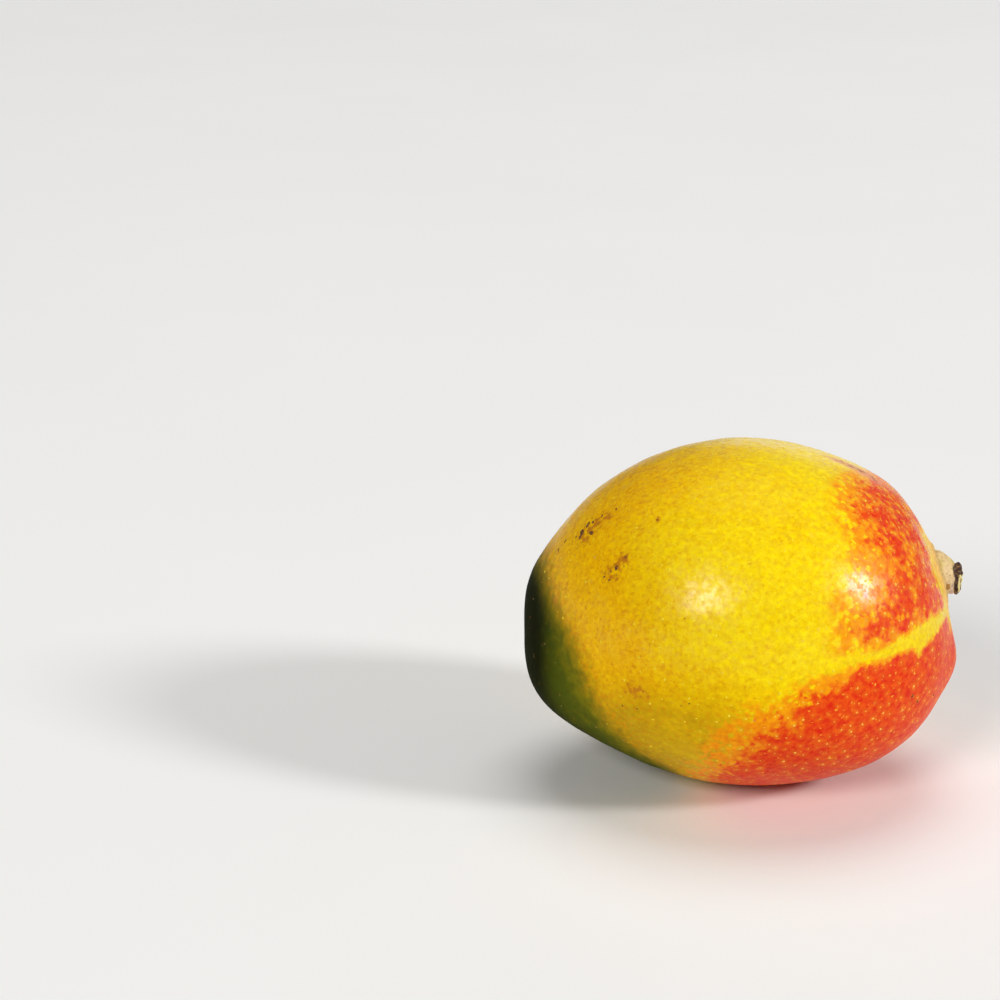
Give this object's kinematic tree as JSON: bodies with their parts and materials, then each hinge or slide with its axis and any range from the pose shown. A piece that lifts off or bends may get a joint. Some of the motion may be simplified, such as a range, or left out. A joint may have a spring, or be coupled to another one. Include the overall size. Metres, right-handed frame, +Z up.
{
  "type": "mango",
  "caption": "Whole ripe mango lying on its side, a plump egg-shaped fruit with a low beak at one end and the stub of its stem at the other.",
  "frame": {"origin": "on the surface that the mango rests on, under the middle of its bounding box", "axes": "+X along the fruit towards the stem end, +Z up, so -Y is the side that the picture shows"},
  "size_m": [0.114, 0.0968, 0.0896],
  "materials": {
    "skin": "waxy semi-gloss, yellow and gold with red blush",
    "bark": "matte, dry"
  },
  "bodies": {
    "root": {"fruit": "skin", "stem": "bark"}
  },
  "joints": []
}
